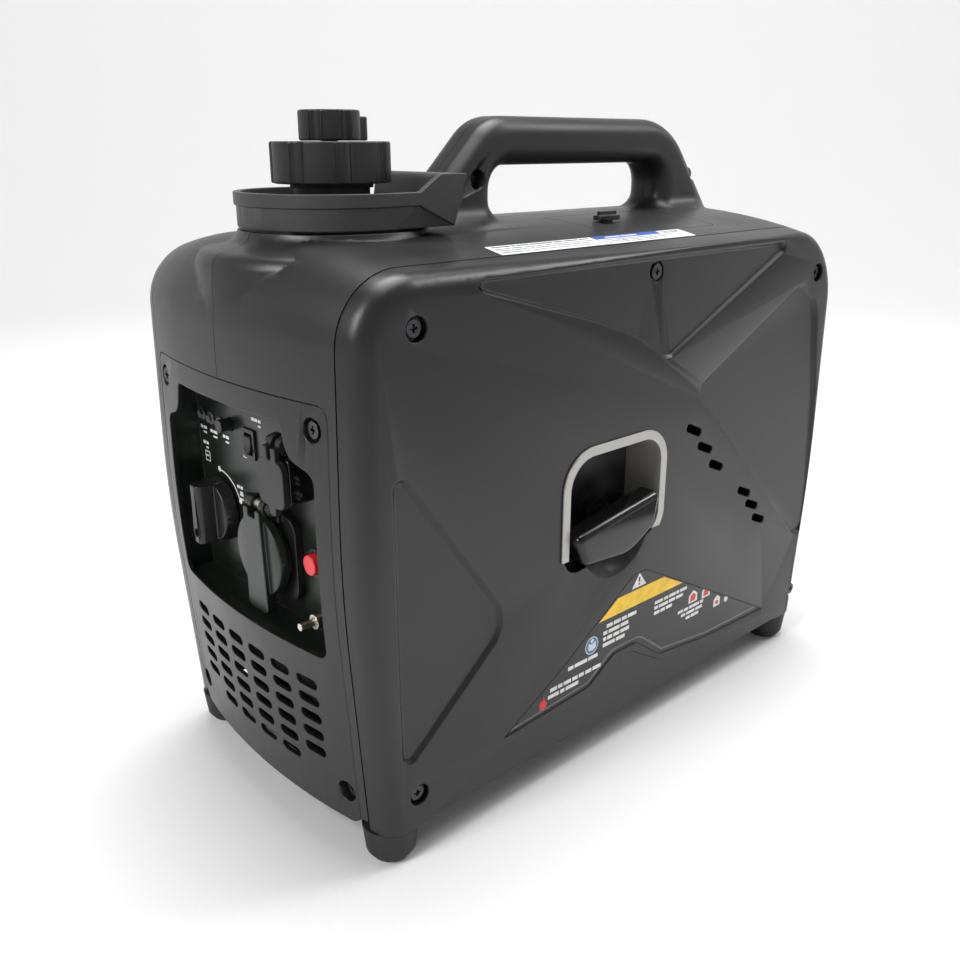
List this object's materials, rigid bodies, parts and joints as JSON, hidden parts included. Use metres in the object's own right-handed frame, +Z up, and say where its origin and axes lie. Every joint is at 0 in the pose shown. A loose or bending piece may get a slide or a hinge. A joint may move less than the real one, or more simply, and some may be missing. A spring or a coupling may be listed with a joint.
{
  "type": "portable inverter generator",
  "caption": "Suitcase-shaped portable generator with carry handle, filler cap on a spill tray, front control panel with sockets, and side pull starter.",
  "frame": {"origin": "on the floor at the centre of the four feet", "axes": "+X towards the rear along the length, control panel faces -X; -Y towards the pull starter; +Z up"},
  "size_m": [0.4609, 0.241, 0.405],
  "materials": {
    "housing_plastic": "fine moulded texture",
    "cover_plastic": "fine moulded texture",
    "fascia_plastic": "satin",
    "tray_plastic": "satin",
    "panel_plate": "semi gloss",
    "cap_plastic": "satin",
    "control_plastic": "satin",
    "gloss_black": "polished",
    "soft_rubber": "matt",
    "lamp_lens": "clear dark lens",
    "bezel_paint": "satin silver paint",
    "red_button": "smooth",
    "black_screws": "blackened",
    "zinc": "zinc plated",
    "rope": "braided",
    "copper": "wound",
    "cast_aluminium": "as cast",
    "muffler_paint": "heat resistant",
    "tank_plastic": "blow moulded"
  },
  "bodies": {
    "housing": {"right_shell": "housing_plastic", "left_shell": "housing_plastic", "right_cover": "cover_plastic", "left_cover": "cover_plastic", "base_tray": "cover_plastic", "front_fascia": "fascia_plastic", "rear_fascia": "fascia_plastic", "fuel_tray": "tray_plastic", "control_panel": "panel_plate", "filler_neck": "cap_plastic", "fuel_tap": "control_plastic", "switch_frame": "control_plastic", "ac_socket": "control_plastic", "breaker_body": "control_plastic", "recess_cup": "control_plastic", "rope_guide": "control_plastic", "starter_housing": "control_plastic", "dc_socket": "gloss_black", "rubber_feet": "soft_rubber", "engine_mounts": "soft_rubber", "indicator_lamps": "lamp_lens", "recess_bezel": "bezel_paint", "fascia_screws": "black_screws", "cover_screws": "black_screws", "ground_terminal": "zinc", "dc_cap_pin": "zinc", "ac_lid_pin": "zinc", "ac_lid_spring": "zinc", "rewind_spring": "zinc", "spark_plug": "zinc", "starter_rope": "rope", "alternator_stator": "copper", "engine_block": "cast_aluminium", "cylinder_head": "cast_aluminium", "inverter_module": "cast_aluminium", "carburettor": "cast_aluminium", "muffler": "muffler_paint", "fuel_tank": "tank_plastic", "air_filter_box": "tank_plastic"},
    "cap_plug": {"cap_plug": "cap_plastic", "cap_gasket": "soft_rubber"},
    "fuel_cap": {"fuel_cap": "cap_plastic"},
    "vent_knob": {"vent_knob": "cap_plastic"},
    "fuel_dial": {"fuel_dial": "control_plastic", "dial_spindle": "control_plastic"},
    "eco_rocker": {"eco_rocker": "control_plastic"},
    "reset_button": {"reset_button": "control_plastic"},
    "dc_socket_cap": {"dc_socket_cap": "soft_rubber"},
    "ac_socket_lid": {"ac_socket_lid": "control_plastic"},
    "breaker_button": {"breaker_button": "red_button"},
    "ground_nut": {"ground_nut": "zinc"},
    "starter_grip": {"starter_grip": "gloss_black"},
    "rope_reel": {"rope_reel": "control_plastic"},
    "top_hatch": {"top_hatch": "housing_plastic"},
    "hatch_knob": {"hatch_knob": "cap_plastic"},
    "service_door": {"service_door": "cover_plastic"},
    "service_door_knob": {"service_door_knob": "cap_plastic"},
    "crank_train": {"crankshaft": "zinc", "alternator_rotor": "zinc", "cooling_fan": "cast_aluminium"}
  },
  "joints": [
    {"name": "cap_lift", "type": "slide", "parent": "housing", "child": "cap_plug", "axis": [0, 0, 1], "range_m": [0, 0.06]},
    {"name": "cap_turn", "type": "hinge", "parent": "cap_plug", "child": "fuel_cap", "pos_m": [-0.15, 0, 0.37], "axis": [0, 0, 1], "range_deg": [0, 120]},
    {"name": "vent_turn", "type": "hinge", "parent": "fuel_cap", "child": "vent_knob", "pos_m": [-0.15, 0, 0.39], "axis": [0, 0, 1], "range_deg": [0, 90]},
    {"name": "dial_turn", "type": "hinge", "parent": "housing", "child": "fuel_dial", "pos_m": [-0.204, 0.058, 0.172], "axis": [1, 0, 0], "range_deg": [0, 90]},
    {"name": "eco_press", "type": "hinge", "parent": "housing", "child": "eco_rocker", "pos_m": [-0.2025, 0.017, 0.223], "axis": [0, 1, 0], "range_deg": [0, 12]},
    {"name": "reset_press", "type": "slide", "parent": "housing", "child": "reset_button", "axis": [1, 0, 0], "range_m": [0, 0.002], "stiffness_N_per_m": 300},
    {"name": "dc_cap_open", "type": "hinge", "parent": "housing", "child": "dc_socket_cap", "pos_m": [-0.214, -0.035, 0.237], "axis": [0, 1, 0], "range_deg": [0, 110]},
    {"name": "ac_lid_open", "type": "hinge", "parent": "housing", "child": "ac_socket_lid", "pos_m": [-0.214, -0.008, 0.195], "axis": [0, 1, 0], "range_deg": [0, 110], "stiffness_Nm_per_rad": 0.02, "springref_deg": -17.19},
    {"name": "breaker_press", "type": "slide", "parent": "housing", "child": "breaker_button", "axis": [1, 0, 0], "range_m": [0, 0.003], "stiffness_N_per_m": 400},
    {"name": "ground_nut_turn", "type": "hinge", "parent": "housing", "child": "ground_nut", "pos_m": [-0.208, -0.058, 0.14], "axis": [1, 0, 0], "range_deg": [0, 360]},
    {"name": "starter_pull", "type": "slide", "parent": "housing", "child": "starter_grip", "axis": [0, -1, 0], "range_m": [0, 0.45], "stiffness_N_per_m": 8, "springref_m": -0.05, "deforming": ["starter_rope"]},
    {"name": "reel_turn", "type": "hinge", "parent": "housing", "child": "rope_reel", "pos_m": [0.048, -0.08, 0.15], "axis": [0, 1, 0], "range_deg": [0, 810]},
    {"name": "hatch_off", "type": "slide", "parent": "housing", "child": "top_hatch", "axis": [0, 0, 1], "range_m": [0, 0.05]},
    {"name": "hatch_knob_turn", "type": "hinge", "parent": "top_hatch", "child": "hatch_knob", "pos_m": [0.026, -0.05, 0.34], "axis": [0, 0, 1], "range_deg": [0, 90]},
    {"name": "service_door_off", "type": "slide", "parent": "housing", "child": "service_door", "axis": [0, 1, 0], "range_m": [0, 0.06]},
    {"name": "service_knob_turn", "type": "hinge", "parent": "service_door", "child": "service_door_knob", "pos_m": [-0.008, 0.113, 0.2], "axis": [0, 1, 0], "range_deg": [0, 90]},
    {"name": "crank_turn", "type": "hinge", "parent": "housing", "child": "crank_train", "pos_m": [0.048, 0, 0.15], "axis": [0, 1, 0], "continuous": true}
  ],
  "couplings": [
    {"joint": "reel_turn", "follows": "starter_pull", "rad_per_m": 31.25}
  ]
}
